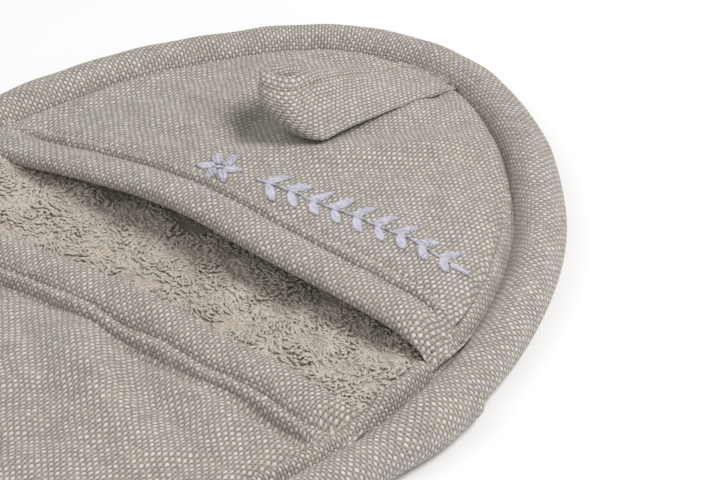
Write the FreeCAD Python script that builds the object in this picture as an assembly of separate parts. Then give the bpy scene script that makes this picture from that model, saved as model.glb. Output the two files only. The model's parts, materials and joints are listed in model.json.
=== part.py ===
"""Oval two-pocket oven mitt, the flat kind that folds in half round a hot handle.

Millimetres.  +Z is up out of the pockets, +Y points to the end with the hanging loop, +X runs along
the pocket mouths.  The origin is under the middle of the oval, on the surface that the mitt lies on.

From the bottom up the mitt is a canvas back panel, a heat wadding and a terry panel, with a lined
canvas pocket over each end.  One tape binds the edge, and a shorter tape binds each pocket mouth.
The mitt folds along the X axis, so what runs across that line is made as two nodes, one per half.
"""

import FreeCAD
import Part
import math
import os

V = FreeCAD.Vector
UP = V(0, 0, 1)

# ---- Oval ---------------------------------------------------------------------------------------
HALF_LENGTH = 127.0            # along Y, over the binding
HALF_WIDTH = 89.0              # along X, over the binding
END_RADIUS = 67.0              # the arc round each end
FOLD_GAP = 0.15                # each half stops this far short of the fold line

# ---- Layers, at the sewn edge -------------------------------------------------------------------
TAPE = 0.8                     # thickness of the binding tape
BACK_CANVAS = 0.8
WADDING = 2.4
TERRY = 1.6
LINING = 0.7
CANVAS = 0.7
BACK_Z = TAPE
WADDING_Z = BACK_Z + BACK_CANVAS
TERRY_Z = WADDING_Z + WADDING
LINING_Z = TERRY_Z + TERRY
CANVAS_Z = LINING_Z + LINING
STACK_TOP = CANVAS_Z + CANVAS
PAD_CROWN = 1.0                # the wadding is this much thicker in the middle than at the edge

# ---- Edge binding, as a section: d is the distance in from the mitt's edge ------------------------
ROLL_HEIGHT = 10.4
ROLL_RADIUS = ROLL_HEIGHT / 2
ROLL_FLAT_D = 8.0              # the top of the roll starts to fall here
STITCH_D = 13.3                # the seam that pulls the roll down
LIP_D = 16.5                   # inner edge of the tape
LIP_TOP = STACK_TOP + TAPE
STACK_D = 5.4                  # the layers end here, inside the roll

# ---- Lapped end of the edge binding ---------------------------------------------------------------
LAP_END_Y = 13.7
LAP_THICKNESS = 0.8

# ---- Pockets --------------------------------------------------------------------------------------
MOUTH_Y = 11.5                 # front of the bound mouth, from the fold line
LOOP_POCKET_RISE = 12.0        # how far the middle of each pocket stands over its sewn edge
PLAIN_POCKET_RISE = 8.5
MOUTH_TAPE = 0.9
MOUTH_TAPE_TOP = 16.0          # width of the mouth tape on the outside of the pocket
MOUTH_TAPE_UNDER = 12.0        # and on the inside
MOUTH_SEAM = 11.5              # the mouth's seam, from its front

# ---- Hanging loop -----------------------------------------------------------------------------------
LOOP_WIDTH = 18.0
LOOP_STRIP = 1.6               # the strip is folded in four and pressed flat
LOOP_RUN = 44.0                # from the base to the middle of the round end
LOOP_END_RADIUS = 5.6          # outside radius of the round end
LOOP_BASE = V(2.6, 106.4, 8.65)
LOOP_BASE_HEIGHT = 3.32        # two thicknesses of strip and the air between them
LOOP_SKEW = 8.0                # degrees, towards -X
LOOP_TILT = 10.0               # degrees, up from the base
LOOP_ROOT_GAP = 0.3            # between the free loop and its sewn root

# ---- Thread -----------------------------------------------------------------------------------------
THREAD = 0.45
STITCH_LENGTH = 2.5
STITCH_PITCH = 3.5
EMBROIDERY = 0.5

TALL = 60.0                    # more than the height of anything here


# ---- Outlines ---------------------------------------------------------------------------------------
def side_radius():
    """Radius of the long arcs that meet the end arcs without a corner."""
    a, b, r = HALF_LENGTH, HALF_WIDTH, END_RADIUS
    return (a * a + b * b - 2 * a * r) / (2 * (b - r))


END_CENTRE = HALF_LENGTH - END_RADIUS
SIDE_RADIUS = side_radius()
SIDE_CENTRE = SIDE_RADIUS - HALF_WIDTH
# Half the angle of a side arc, and half the angle of an end arc.
SIDE_ANGLE = math.degrees(math.atan2(END_CENTRE, SIDE_CENTRE))
END_ANGLE = 90.0 - SIDE_ANGLE


def polar(centre, radius, degrees):
    """Point at that angle on a flat circle."""
    turn = math.radians(degrees)
    return V(centre.x + radius * math.cos(turn), centre.y + radius * math.sin(turn), 0)


def oval_arcs(d):
    """The oval's arcs, d inside the mitt's edge, as (centre, radius, first angle, last angle)."""
    end_radius, radius = END_RADIUS - d, SIDE_RADIUS - d
    return [
        (V(-SIDE_CENTRE, 0, 0), radius, -SIDE_ANGLE, SIDE_ANGLE),
        (V(0, END_CENTRE, 0), end_radius, SIDE_ANGLE, 180 - SIDE_ANGLE),
        (V(SIDE_CENTRE, 0, 0), radius, 180 - SIDE_ANGLE, 180 + SIDE_ANGLE),
        (V(0, -END_CENTRE, 0), end_radius, 180 + SIDE_ANGLE, 360 - SIDE_ANGLE),
    ]


def oval_prism(d, low=-TALL, high=TALL):
    """Upright solid with the oval, d inside the edge, as its outline."""
    edges = []
    for centre, radius, first, last in oval_arcs(d):
        points = [polar(centre, radius, angle) for angle in (first, (first + last) / 2, last)]
        edges.append(Part.Arc(*points).toShape())
    outline = Part.Face(Part.Wire(edges))
    outline.translate(V(0, 0, low))
    return outline.extrude(V(0, 0, high - low))


def between(y_low, y_high):
    """Block that holds everything from one Y to another."""
    block = Part.makeBox(4 * HALF_WIDTH, y_high - y_low, 2 * TALL)
    block.translate(V(-2 * HALF_WIDTH, y_low, -TALL))
    return block


def half(shape, side):
    """The part of shape on one side of the fold: side is +1 for the loop's half, -1 for the other."""
    ends = sorted((side * FOLD_GAP, side * 2 * HALF_LENGTH))
    return shape.common(between(*ends))


def joined(shapes):
    """Several touching solids as one."""
    return shapes[0].multiFuse(shapes[1:]).removeSplitter()


# ---- Crowned layers -----------------------------------------------------------------------------------
CROWN_X = HALF_WIDTH - LIP_D
CROWN_Y = HALF_LENGTH - LIP_D


def crown(x, y):
    """1 in the middle of the mitt and 0 where the domes meet the flat sewn edge."""
    return 1 - (x / CROWN_X) ** 2 - (y / CROWN_Y) ** 2


def crowned_slab(top_z, rise, thickness):
    """Layer of even thickness whose top is at top_z + rise * crown(x, y)."""
    x_reach, y_reach = HALF_WIDTH, HALF_LENGTH
    fall_x, fall_y = (x_reach / CROWN_X) ** 2, (y_reach / CROWN_Y) ** 2
    surface = Part.BezierSurface()
    surface.increase(2, 2)
    for i, x_share in enumerate((-1, 1, -1)):
        for j, y_share in enumerate((-1, 1, -1)):
            height = top_z + rise * (1 + x_share * fall_x + y_share * fall_y)
            surface.setPole(i + 1, j + 1, V((i - 1) * x_reach, (j - 1) * y_reach, height))
    return surface.toShape().extrude(V(0, 0, -thickness))


def crowned_layer(bottom, thickness, rise, region):
    """Flat at the sewn edge and domed inside it, cut to region."""
    rim = oval_prism(STACK_D, bottom, bottom + thickness).cut(oval_prism(LIP_D))
    dome = crowned_slab(bottom + thickness, rise, thickness).common(oval_prism(LIP_D))
    return joined([rim, dome]).common(region)


# ---- The pad ------------------------------------------------------------------------------------------
def back_panel(side):
    return half(oval_prism(STACK_D, BACK_Z, BACK_Z + BACK_CANVAS), side)


def wadding(side):
    flat = oval_prism(STACK_D, WADDING_Z, TERRY_Z)
    dome = crowned_slab(TERRY_Z, PAD_CROWN, WADDING / 2).common(oval_prism(LIP_D))
    return half(joined([flat, dome]), side)


def terry_panel(side):
    return crowned_layer(TERRY_Z, TERRY, PAD_CROWN, half(between(-TALL * 3, TALL * 3), side))


# ---- Edge binding -------------------------------------------------------------------------------------
def tape_section(centre, radius):
    """The tape's section, standing on the X axis beside an arc's centre."""
    def at(d, z):
        return V(centre.x + radius - d, centre.y, z)

    def line(start, end):
        return Part.LineSegment(at(*start), at(*end)).toShape()

    def arc(start, middle, end):
        return Part.Arc(at(*start), at(*middle), at(*end)).toShape()

    diagonal = math.sqrt(0.5)
    outer, inner = ROLL_RADIUS, ROLL_RADIUS - TAPE
    bottom, side, top = (outer, 0), (0, outer), (outer, ROLL_HEIGHT)
    low_corner = (outer - outer * diagonal, outer - outer * diagonal)
    high_corner = (low_corner[0], ROLL_HEIGHT - low_corner[1])
    in_bottom, in_side, in_top = (outer, TAPE), (TAPE, outer), (outer, ROLL_HEIGHT - TAPE)
    in_low_corner = (outer - inner * diagonal, outer - inner * diagonal)
    in_high_corner = (in_low_corner[0], ROLL_HEIGHT - in_low_corner[1])
    roll_edge, in_roll_edge = (ROLL_FLAT_D, ROLL_HEIGHT), (ROLL_FLAT_D, ROLL_HEIGHT - TAPE)
    groove_z = LIP_TOP - 0.3
    groove_out, groove_in = (STITCH_D - 0.4, groove_z), (STITCH_D + 0.4, groove_z)
    in_groove = (STITCH_D - 1.1, STACK_TOP)
    shoulder = ((ROLL_FLAT_D + STITCH_D) / 2 + 0.7, (ROLL_HEIGHT + groove_z) / 2 + 0.6)
    in_shoulder = ((ROLL_FLAT_D + STITCH_D) / 2 - 0.1, (ROLL_HEIGHT - TAPE + STACK_TOP) / 2 + 0.4)
    lip_start, lip_round = (STITCH_D + 0.9, LIP_TOP), (LIP_D - TAPE / 2, LIP_TOP)
    lip_nose, lip_end = (LIP_D, LIP_TOP - TAPE / 2), (LIP_D, STACK_TOP)
    lip_middle = (LIP_D - 0.12, LIP_TOP - 0.12)
    edges = [
        line((LIP_D, 0), bottom),
        arc(bottom, low_corner, side),
        arc(side, high_corner, top),
        line(top, roll_edge),
        arc(roll_edge, shoulder, groove_out),
        line(groove_out, groove_in),
        line(groove_in, lip_start),
        line(lip_start, lip_round),
        arc(lip_round, lip_middle, lip_nose),
        line(lip_nose, lip_end),
        line(lip_end, in_groove),
        arc(in_groove, in_shoulder, in_roll_edge),
        line(in_roll_edge, in_top),
        arc(in_top, in_high_corner, in_side),
        arc(in_side, in_low_corner, in_bottom),
        line(in_bottom, (LIP_D, TAPE)),
        line((LIP_D, TAPE), (LIP_D, 0)),
    ]
    return Part.Face(Part.Wire(edges))


def edge_binding(side):
    """The tape folded over the edge, as far as the fold."""
    pieces = []
    for centre, radius, first, last in oval_arcs(0):
        section = tape_section(centre, radius)
        section.rotate(centre, UP, first)
        piece = half(section.revolve(centre, UP, last - first), side)
        if piece.Solids:
            pieces.append(piece)
    return joined(pieces)


def lapped_end():
    """The tape's finishing end, folded under and laid over its start, at the +X side of the mitt."""
    centre, radius, _, _ = oval_arcs(0)[0]
    grown = ROLL_RADIUS + LAP_THICKNESS
    diagonal = math.sqrt(0.5)
    inner_d, low_z = ROLL_FLAT_D, 2.0

    def at(d, z):
        return V(centre.x + radius - d, centre.y, z)

    def on_roll(reach, degrees):
        turn = math.radians(degrees)
        return at(ROLL_RADIUS - reach * math.cos(turn), ROLL_RADIUS + reach * math.sin(turn))

    low = math.degrees(math.asin((low_z - ROLL_RADIUS) / ROLL_RADIUS))
    middle = (low + 90) / 2
    top_in = at(inner_d, ROLL_HEIGHT + 0.02)
    top_out = at(inner_d, ROLL_HEIGHT + LAP_THICKNESS)
    close = ROLL_RADIUS + 0.02
    edges = [
        Part.Arc(on_roll(grown, low), on_roll(grown, middle), on_roll(grown, 90)).toShape(),
        Part.LineSegment(on_roll(grown, 90), top_out).toShape(),
        Part.LineSegment(top_out, top_in).toShape(),
        Part.LineSegment(top_in, on_roll(close, 90)).toShape(),
        Part.Arc(on_roll(close, 90), on_roll(close, middle), on_roll(close, low)).toShape(),
        Part.LineSegment(on_roll(close, low), on_roll(grown, low)).toShape(),
    ]
    section = Part.Face(Part.Wire(edges))
    angle = math.degrees(math.asin(LAP_END_Y / radius))
    sleeve = section.revolve(centre, UP, angle)
    return half(sleeve, 1)


def edge_stitches(side):
    """Stitches sunk in the groove beside the roll, all round one half."""
    stitches = []
    for centre, radius, first, last in oval_arcs(STITCH_D):
        count = max(1, round(math.radians(last - first) * radius / STITCH_PITCH))
        for i in range(count):
            angle = first + (last - first) * (i + 0.5) / count
            place = polar(centre, radius, angle)
            if place.y * side < STITCH_LENGTH:
                continue
            stitch = Part.makeBox(THREAD, STITCH_LENGTH, THREAD)
            stitch.translate(V(-THREAD / 2, -STITCH_LENGTH / 2, LIP_TOP - 0.28))
            stitch.rotate(V(0, 0, 0), UP, angle)
            stitch.translate(place)
            stitches.append(stitch)
    return Part.makeCompound(stitches)


# ---- Pockets ------------------------------------------------------------------------------------------
def pocket_region(side, start):
    """Everything from start outwards on one side of the fold."""
    return between(*sorted((side * start, side * 2 * HALF_LENGTH)))


def pocket_canvas(side, rise):
    return crowned_layer(CANVAS_Z, CANVAS, rise, pocket_region(side, MOUTH_Y + MOUTH_TAPE))


def pocket_lining(side, rise):
    return crowned_layer(LINING_Z, LINING, rise, pocket_region(side, MOUTH_Y + MOUTH_TAPE))


def mouth_binding(side, rise):
    """Tape folded over the mouth, with more of it showing on the outside."""
    def band(top_z, thickness, start, end):
        layer = crowned_slab(top_z, rise, thickness).common(oval_prism(LIP_D + 0.1))
        return layer.common(between(*sorted((side * start, side * end))))

    cloth = LINING + CANVAS
    front = MOUTH_Y + MOUTH_TAPE
    tape = joined([
        band(STACK_TOP + MOUTH_TAPE, MOUTH_TAPE, MOUTH_Y, MOUTH_Y + MOUTH_TAPE_TOP),
        band(STACK_TOP + MOUTH_TAPE, cloth + 2 * MOUTH_TAPE, MOUTH_Y, front),
        band(STACK_TOP - cloth, MOUTH_TAPE, MOUTH_Y, MOUTH_Y + MOUTH_TAPE_UNDER),
    ])
    # The tape is pressed thin against the terry where the mouth closes at either side.
    return tape.cut(crowned_slab(LINING_Z + 0.02, PAD_CROWN, 4.0))


def mouth_stitches(side, rise):
    """Row of stitches along the mouth's seam, each lying on the crown of the tape."""
    y = side * (MOUTH_Y + MOUTH_SEAM)
    reach = CROWN_X * math.sqrt(1 - (y / CROWN_Y) ** 2) - 2 * STITCH_PITCH
    count = int(2 * reach / STITCH_PITCH)
    stitches = []
    for i in range(count):
        x = STITCH_PITCH * (i - (count - 1) / 2)
        slope = math.degrees(math.atan(2 * rise * x / CROWN_X ** 2))
        height = STACK_TOP + MOUTH_TAPE + rise * crown(x, y)
        stitch = Part.makeBox(STITCH_LENGTH, THREAD, THREAD)
        stitch.translate(V(-STITCH_LENGTH / 2, -THREAD / 2, 0.06))
        stitch.rotate(V(0, 0, 0), V(0, 1, 0), slope)
        stitch.translate(V(x, y, height))
        stitches.append(stitch)
    return Part.makeCompound(stitches)


# ---- Hanging loop -------------------------------------------------------------------------------------
def loop_placement():
    """Lays the loop, made along -Y from its base, on the pocket."""
    tilt = FreeCAD.Rotation(V(1, 0, 0), -LOOP_TILT)
    skew = FreeCAD.Rotation(UP, -LOOP_SKEW)
    return FreeCAD.Placement(LOOP_BASE, skew.multiply(tilt))


def loop_strip(inside):
    """Teardrop outline of the loop, seen along X, shrunk by inside.  It starts at the base."""
    radius = LOOP_END_RADIUS - inside
    centre_y, centre_z = -LOOP_RUN, LOOP_END_RADIUS
    # Both runs start at one point of the base and touch the round end.
    start = V(0, -inside * 0.9, inside + (0 if inside == 0 else 0.06))
    base_top = V(0, start.y, start.z + (LOOP_BASE_HEIGHT if inside == 0 else 0.12))
    reach = math.hypot(centre_y - base_top.y, centre_z - base_top.z)
    bearing = math.atan2(centre_z - base_top.z, -(centre_y - base_top.y))
    touch = bearing + math.asin(radius / reach)
    top = V(0, centre_y + radius * math.sin(touch), centre_z + radius * math.cos(touch))
    bottom = V(0, centre_y, inside)
    end = V(0, centre_y - radius, centre_z)
    edges = [
        Part.LineSegment(start, bottom).toShape(),
        Part.Arc(bottom, end, top).toShape(),
        Part.LineSegment(top, base_top).toShape(),
        Part.LineSegment(base_top, start).toShape(),
    ]
    outline = Part.Face(Part.Wire(edges))
    outline.translate(V(-LOOP_WIDTH, 0, 0))
    return outline.extrude(V(2 * LOOP_WIDTH, 0, 0))


def hanging_loop():
    band = loop_strip(0).cut(loop_strip(LOOP_STRIP))
    width = Part.makeBox(LOOP_WIDTH, 2 * HALF_LENGTH, TALL)
    width.translate(V(-LOOP_WIDTH / 2, -HALF_LENGTH, -TALL / 2))
    loop = band.common(width)
    loop.Placement = loop_placement()
    return loop


def loop_root():
    """The sewn end of the loop's strip, between the binding's lip and the free loop."""
    block = Part.makeBox(LOOP_WIDTH, 12.0, TALL)
    block.translate(V(-LOOP_WIDTH / 2, LOOP_ROOT_GAP, -TALL / 2))
    block.Placement = loop_placement().multiply(block.Placement)
    top = LOOP_BASE.z + LOOP_BASE_HEIGHT - 0.4
    under = crowned_slab(STACK_TOP, LOOP_POCKET_RISE, TALL)
    return block.common(oval_prism(LIP_D, STACK_TOP - 1, top)).cut(under)


# ---- Embroidery ---------------------------------------------------------------------------------------
# The sprig is drawn along +X from the middle of its blossom, then turned and set on the pocket.
BLOSSOM = V(-7.0, 33.2, 0)
SPRIG_TURN = 6.0               # degrees
SPRIG_START_X, SPRIG_END_X = 12.0, 66.0
SPRIG_BOW = 2.0                # the stem rises this much in its middle
LEAF_LENGTH, LEAF_WIDTH = 7.0, 2.8
LEAF_PAIRS = 6
STEM_WIDTH = 1.0
BLOSSOM_PETALS = 6


def leaf(x, y, degrees, length=LEAF_LENGTH, width=LEAF_WIDTH):
    """Pointed leaf as an upright prism, from its foot at x, y along the given direction."""
    tip, belly = V(length, 0, 0), width / 2
    sides = [
        Part.Arc(V(0, 0, 0), V(length * 0.45, belly, 0), tip).toShape(),
        Part.Arc(tip, V(length * 0.45, -belly, 0), V(0, 0, 0)).toShape(),
    ]
    face = Part.Face(Part.Wire(sides))
    face.rotate(V(0, 0, 0), UP, degrees)
    face.translate(V(x, y, 0))
    return face.extrude(V(0, 0, TALL))


def stem_y(x):
    share = (x - SPRIG_START_X) / (SPRIG_END_X - SPRIG_START_X)
    return 4 * SPRIG_BOW * share * (1 - share)


def embroidery():
    """Sprig of leaves and a blossom in satin stitch, each patch of thread its own solid."""
    prisms = []
    step = (SPRIG_END_X - SPRIG_START_X) / LEAF_PAIRS
    for i in range(LEAF_PAIRS):
        x = SPRIG_START_X + (i + 0.5) * step
        y = stem_y(x)
        prisms.append(leaf(x + 0.4, y + STEM_WIDTH, 48))
        prisms.append(leaf(x + 0.4, y - STEM_WIDTH, -48))
        stem = leaf(x - step / 2 + 0.3, stem_y(x - step / 2), 0, step - 0.6, STEM_WIDTH)
        turn = math.degrees(math.atan2(stem_y(x + step / 2) - stem_y(x - step / 2), step))
        stem.rotate(V(x - step / 2, stem_y(x - step / 2), 0), UP, turn)
        prisms.append(stem)
    prisms.append(leaf(SPRIG_END_X + 0.6, stem_y(SPRIG_END_X), 0, 6.0, LEAF_WIDTH))
    for i in range(BLOSSOM_PETALS):
        angle = 360.0 * i / BLOSSOM_PETALS + 15
        foot = polar(V(0, 0, 0), 1.3, angle)
        prisms.append(leaf(foot.x, foot.y, angle, 4.2, 2.5))
    for prism in prisms:
        prism.rotate(V(0, 0, 0), UP, SPRIG_TURN)
        prism.translate(BLOSSOM)
    cover = crowned_slab(STACK_TOP + 0.02 + EMBROIDERY, LOOP_POCKET_RISE, EMBROIDERY)
    patches = [prism.common(cover) for prism in prisms]
    return Part.makeCompound([solid for patch in patches for solid in patch.Solids])


def loop_stitches():
    """Two rows of stitches that close the folded edges of the loop's strip, on its upper face."""
    radius = LOOP_END_RADIUS
    base_z = LOOP_BASE_HEIGHT
    reach = math.hypot(LOOP_RUN, radius - base_z)
    rise = math.degrees(math.atan2(radius - base_z, LOOP_RUN) + math.asin(radius / reach))
    stitches = []
    for x in (-LOOP_WIDTH / 2 + 2.0, LOOP_WIDTH / 2 - 2.0):
        for i in range(int(LOOP_RUN / STITCH_PITCH) - 2):
            stitch = Part.makeBox(THREAD, STITCH_LENGTH, THREAD)
            stitch.translate(V(x - THREAD / 2, -(i + 2) * STITCH_PITCH, 0.03))
            stitch.rotate(V(0, 0, 0), V(1, 0, 0), -rise)
            stitch.translate(V(0, 0, base_z))
            stitches.append(stitch)
    rows = Part.makeCompound(stitches)
    rows.Placement = loop_placement()
    return rows


# ---- Nodes --------------------------------------------------------------------------------------------
def nodes():
    made = {}
    for side, name in ((1, "loop_half"), (-1, "plain_half")):
        made["back_panel_" + name] = back_panel(side)
        made["wadding_" + name] = wadding(side)
        made["terry_panel_" + name] = terry_panel(side)
        made["edge_binding_" + name] = edge_binding(side)
        made["edge_stitching_" + name] = edge_stitches(side)
    for side, name, rise in ((1, "loop_end", LOOP_POCKET_RISE), (-1, "plain_end", PLAIN_POCKET_RISE)):
        made[name + "_pocket_canvas"] = pocket_canvas(side, rise)
        made[name + "_pocket_lining"] = pocket_lining(side, rise)
        made[name + "_mouth_binding"] = mouth_binding(side, rise)
        made[name + "_mouth_stitching"] = mouth_stitches(side, rise)
    made["edge_binding_lapped_end"] = lapped_end()
    made["hanging_loop_root"] = loop_root()
    made["hanging_loop"] = hanging_loop()
    made["hanging_loop_stitching"] = loop_stitches()
    made["embroidered_sprig"] = embroidery()
    return made


def main():
    os.makedirs("parts", exist_ok=True)
    for name, shape in nodes().items():
        bounds = shape.BoundBox
        state = "valid" if shape.isValid() and shape.Solids else "NOT VALID"
        print(f"{name:34s} {len(shape.Solids):4d} solids {shape.Volume:10.1f} mm3 {state}",
              f"z {bounds.ZMin:.2f} to {bounds.ZMax:.2f}")
        shape.exportStep(f"parts/{name}.step")


main()
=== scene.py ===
import bpy
import json
import math
import numpy as np
from mathutils import Matrix, Vector

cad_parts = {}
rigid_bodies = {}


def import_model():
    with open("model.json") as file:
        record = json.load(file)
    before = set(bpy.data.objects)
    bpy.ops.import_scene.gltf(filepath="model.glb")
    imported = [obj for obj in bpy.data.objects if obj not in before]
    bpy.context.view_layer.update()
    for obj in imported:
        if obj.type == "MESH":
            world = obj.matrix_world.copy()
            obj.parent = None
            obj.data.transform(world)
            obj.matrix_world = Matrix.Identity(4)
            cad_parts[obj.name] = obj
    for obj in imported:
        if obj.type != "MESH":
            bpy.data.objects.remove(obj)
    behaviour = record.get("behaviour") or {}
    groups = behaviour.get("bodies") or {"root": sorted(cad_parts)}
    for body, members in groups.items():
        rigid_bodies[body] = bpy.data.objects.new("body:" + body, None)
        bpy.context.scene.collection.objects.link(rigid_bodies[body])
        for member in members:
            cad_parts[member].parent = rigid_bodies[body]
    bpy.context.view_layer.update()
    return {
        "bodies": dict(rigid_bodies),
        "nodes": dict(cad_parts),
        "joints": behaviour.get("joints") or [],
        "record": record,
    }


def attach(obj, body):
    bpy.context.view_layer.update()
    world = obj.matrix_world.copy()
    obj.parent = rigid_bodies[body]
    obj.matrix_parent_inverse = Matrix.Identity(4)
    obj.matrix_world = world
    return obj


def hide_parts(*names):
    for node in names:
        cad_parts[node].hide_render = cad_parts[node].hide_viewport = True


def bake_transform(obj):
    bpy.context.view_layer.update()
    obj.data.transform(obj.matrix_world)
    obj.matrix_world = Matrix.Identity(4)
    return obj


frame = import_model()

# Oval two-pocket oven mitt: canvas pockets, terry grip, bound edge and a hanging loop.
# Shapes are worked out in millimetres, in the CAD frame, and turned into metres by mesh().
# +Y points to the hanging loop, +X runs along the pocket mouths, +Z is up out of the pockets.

MM = 0.001
LOOP, PLAIN, TAG = "loop_half", "plain_half", "hanging_loop"
rng = np.random.default_rng(7)

# ---- Oval, as in the CAD ---------------------------------------------------------------
HALF_LENGTH, HALF_WIDTH, END_R = 127.0, 89.0, 67.0
SIDE_R = (HALF_LENGTH ** 2 + HALF_WIDTH ** 2 - 2 * HALF_LENGTH * END_R) / (2 * (HALF_WIDTH - END_R))
END_C, SIDE_C = HALF_LENGTH - END_R, SIDE_R - HALF_WIDTH
SIDE_ANGLE = math.atan2(END_C, SIDE_C)
END_ANGLE = math.pi / 2 - SIDE_ANGLE
AROUND = 4 * (SIDE_R * SIDE_ANGLE + END_R * END_ANGLE)


def smooth(low, high, value):
    t = np.clip((value - low) / (high - low), 0, 1)
    return t * t * (3 - 2 * t)


def rim(s):
    """Point on the oval s mm round from +X, anticlockwise, with the outward direction there."""
    side, end = SIDE_R * SIDE_ANGLE, 2 * END_R * END_ANGLE
    marks = np.cumsum([0, side, end, 2 * side, end, side])
    angles = np.array([0, SIDE_ANGLE, math.pi - SIDE_ANGLE, math.pi + SIDE_ANGLE,
                       2 * math.pi - SIDE_ANGLE, 2 * math.pi])
    s = np.mod(s, AROUND)
    arc = np.clip(np.searchsorted(marks, s, side="right") - 1, 0, 4)
    angle = np.interp(s, marks, angles)
    centre_x = np.array([-SIDE_C, 0, SIDE_C, 0, -SIDE_C])[arc]
    centre_y = np.array([0, END_C, 0, -END_C, 0])[arc]
    radius = np.array([SIDE_R, END_R, SIDE_R, END_R, SIDE_R])[arc]
    normal = np.stack([np.cos(angle), np.sin(angle)], -1)
    return np.stack([centre_x, centre_y], -1) + radius[..., None] * normal, normal


def depth(x, y):
    """How far inside the oval's outline a point is."""
    x, y = np.abs(x), np.abs(y)
    from_side = SIDE_R - np.hypot(x + SIDE_C, y)
    from_end = END_R - np.hypot(x, y - END_C)
    return np.where(np.arctan2(y, x + SIDE_C) <= SIDE_ANGLE, from_side, from_end)


def reach_y(x, inset):
    """Y of the oval, inset from the outline, over a given x."""
    x = np.abs(x)
    end_r, side_r = END_R - inset, SIDE_R - inset
    over_end = END_C + np.sqrt(np.maximum(end_r ** 2 - x ** 2, 0))
    over_side = np.sqrt(np.maximum(side_r ** 2 - (x + SIDE_C) ** 2, 0))
    return np.where(x <= end_r * math.cos(SIDE_ANGLE), over_end, over_side)


def reach_x(y, inset):
    """X of the oval, inset from the outline, at a given y near the fold."""
    return np.sqrt((SIDE_R - inset) ** 2 - np.asarray(y) ** 2) - SIDE_C


# How far the mitt, as it lies, is eased out from the true oval, along the edge from +X.
EASE = [(-90, 0), (-40, 0.4), (0, 0.9), (45, 1.1), (80, 0.7), (108, -1.5), (134, -2.8), (160, -0.8),
        (190, 0), (230, -1.4), (270, -0.8), (320, 0)]


def ease(points):
    """Moves points in mm to how the mitt lies; most at the edge, dying away inwards."""
    x, y = points[..., 0], points[..., 1]
    start, end = EASE[0][0], EASE[-1][0]
    s = np.linspace(start, AROUND + start, 1400)
    around, _ = rim(s)
    heading = np.unwrap(np.arctan2(around[:, 1], around[:, 0]))
    angle = np.mod(np.arctan2(y, x) - heading[0], 2 * math.pi) + heading[0]
    at = np.interp(angle, heading, s)
    amount = np.where((at > start) & (at < end), curve_through(EASE, at), 0) * smooth(60, 8, depth(x, y))
    _, away = rim(at)
    out = np.array(points, float)
    out[..., :2] += amount[..., None] * away
    return out


def ripple(x, y, wavelength, seed):
    """Smooth unevenness, about -1 to 1."""
    waves = 6
    pick = np.random.default_rng(seed)
    total = 0.0
    for _ in range(waves):
        heading, phase = pick.uniform(0, 2 * math.pi, 2)
        k = 2 * math.pi / (wavelength * pick.uniform(0.7, 1.5))
        total = total + np.sin(k * (x * math.cos(heading) + y * math.sin(heading)) + phase)
    return total / math.sqrt(waves)


def curve_through(points, x):
    """Smooth curve through given (x, value) points."""
    px, py = np.array(points, float).T
    slope = np.gradient(py, px)
    i = np.clip(np.searchsorted(px, x) - 1, 0, len(px) - 2)
    h = px[i + 1] - px[i]
    t = np.clip((x - px[i]) / h, 0, 1)
    a, b = t * t * (3 - 2 * t), t * (1 - t)
    return py[i] * (1 - a) + py[i + 1] * a + h * b * ((1 - t) * slope[i] - t * slope[i + 1])


def fold_line(x, y, path, width, height):
    """A ridge, or with a negative height a furrow, that swells and dies away along a path."""
    path = np.array(path, float)
    gone = run_lengths(path, 0)
    count = int(gone[-1] / 2.5) + 2
    along = np.linspace(0, gone[-1], count)
    total = 0.0
    for at in along:
        px, py = np.interp(at, gone, path[:, 0]), np.interp(at, gone, path[:, 1])
        swell = math.sin(math.pi * (at + 1) / (gone[-1] + 2)) ** 0.6
        total = total + swell * np.exp(-((x - px) ** 2 + (y - py) ** 2) / width ** 2)
    return height * total * (along[1] - along[0]) / (width * math.sqrt(math.pi))


def run_lengths(points, axis):
    """Distance gone along an axis of a grid of points."""
    step = np.linalg.norm(np.diff(points, axis=axis), axis=-1)
    zero = np.zeros_like(np.take(step, [0], axis=axis))
    return np.concatenate([zero, np.cumsum(step, axis=axis)], axis=axis)


# ---- Meshes ----------------------------------------------------------------------------
def add_object(name, data):
    made = bpy.data.objects.new(name, data)
    bpy.context.scene.collection.objects.link(made)
    return made


UP = np.array([0.0, 0.0, 1.0])


def unit(vectors):
    return vectors / np.linalg.norm(vectors, axis=-1, keepdims=True)


def mesh(name, points, faces, uv, material):
    """Object from points in mm, faces, and a UV in mm for each face corner."""
    data = bpy.data.meshes.new(name)
    data.from_pydata((ease(np.asarray(points, float).reshape(-1, 3)) * MM).tolist(), [], faces)
    layer = data.uv_layers.new(name="Cloth")
    layer.data.foreach_set("uv", np.asarray(uv, np.float32).ravel())
    data.shade_smooth()
    data.materials.append(material)
    made = add_object(name, data)
    return made


def grid_faces(rows, columns, wrap=False, flip=False):
    """Quads of a grid, and for each corner its row and column before wrapping."""
    i, j = np.meshgrid(np.arange(rows - 1), np.arange(columns - 1 + wrap), indexing="ij")
    corners = np.stack([np.stack([i, j], -1), np.stack([i + 1, j], -1),
                        np.stack([i + 1, j + 1], -1), np.stack([i, j + 1], -1)], -2).reshape(-1, 4, 2)
    if flip:
        corners = corners[:, ::-1]
    index = corners[..., 0] * columns + corners[..., 1] % columns
    return index, corners


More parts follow.
